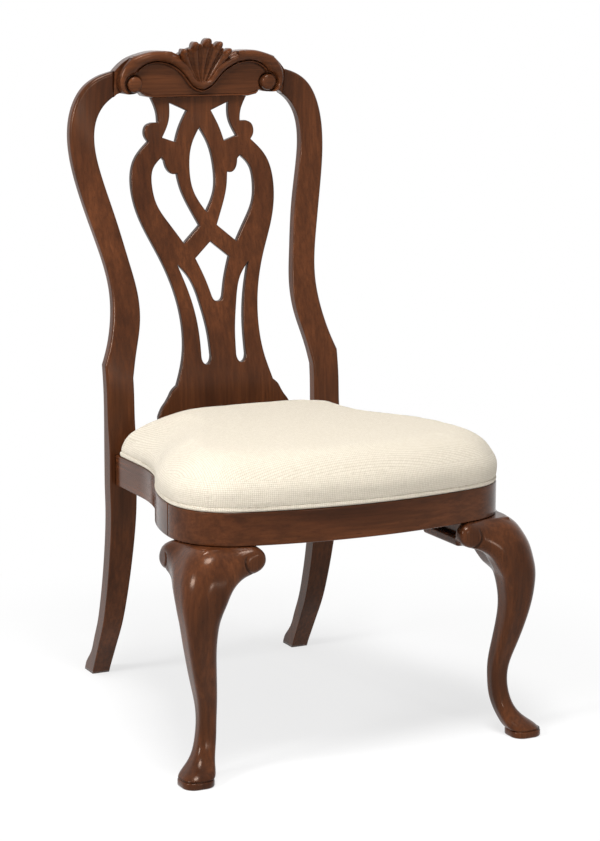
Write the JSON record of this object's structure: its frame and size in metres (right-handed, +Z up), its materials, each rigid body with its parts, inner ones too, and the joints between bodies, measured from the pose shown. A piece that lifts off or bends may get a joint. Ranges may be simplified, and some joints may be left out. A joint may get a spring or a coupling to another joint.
{
  "type": "dining side chair",
  "caption": "Wooden side chair with a pierced splat back, a carved shell crest, cabriole front legs and an upholstered seat.",
  "frame": {"origin": "on the floor, under the middle of the chair's bounding box", "axes": "+Z up, the front of the chair faces -Y, +X to the right of someone who faces the chair's front"},
  "size_m": [0.6146, 0.6652, 1.07],
  "materials": {
    "frame_wood": "satin varnish over a red brown stain",
    "block_wood": "bare",
    "board_wood": "bare plywood",
    "foam": "matte foam",
    "cream_fabric": "matte woven upholstery cloth",
    "black_fabric": "matte cambric",
    "zinc_steel": "zinc plated"
  },
  "bodies": {
    "root": {"left_back_post": "frame_wood", "right_back_post": "frame_wood", "crest_rail": "frame_wood", "crest_shell": "frame_wood", "back_splat": "frame_wood", "splat_shoe": "frame_wood", "rear_seat_rail": "frame_wood", "left_side_rail": "frame_wood", "right_side_rail": "frame_wood", "front_seat_rail": "frame_wood", "left_front_leg": "frame_wood", "right_front_leg": "frame_wood", "left_front_knee_block": "frame_wood", "right_front_knee_block": "frame_wood", "left_side_knee_block": "frame_wood", "right_side_knee_block": "frame_wood", "left_front_corner_block": "block_wood", "right_front_corner_block": "block_wood", "left_rear_corner_block": "block_wood", "right_rear_corner_block": "block_wood", "seat_board": "board_wood", "seat_foam": "foam", "seat_cover": "cream_fabric", "seat_welt": "cream_fabric", "dust_cover": "black_fabric", "leg_bolts": "zinc_steel"}
  },
  "joints": []
}
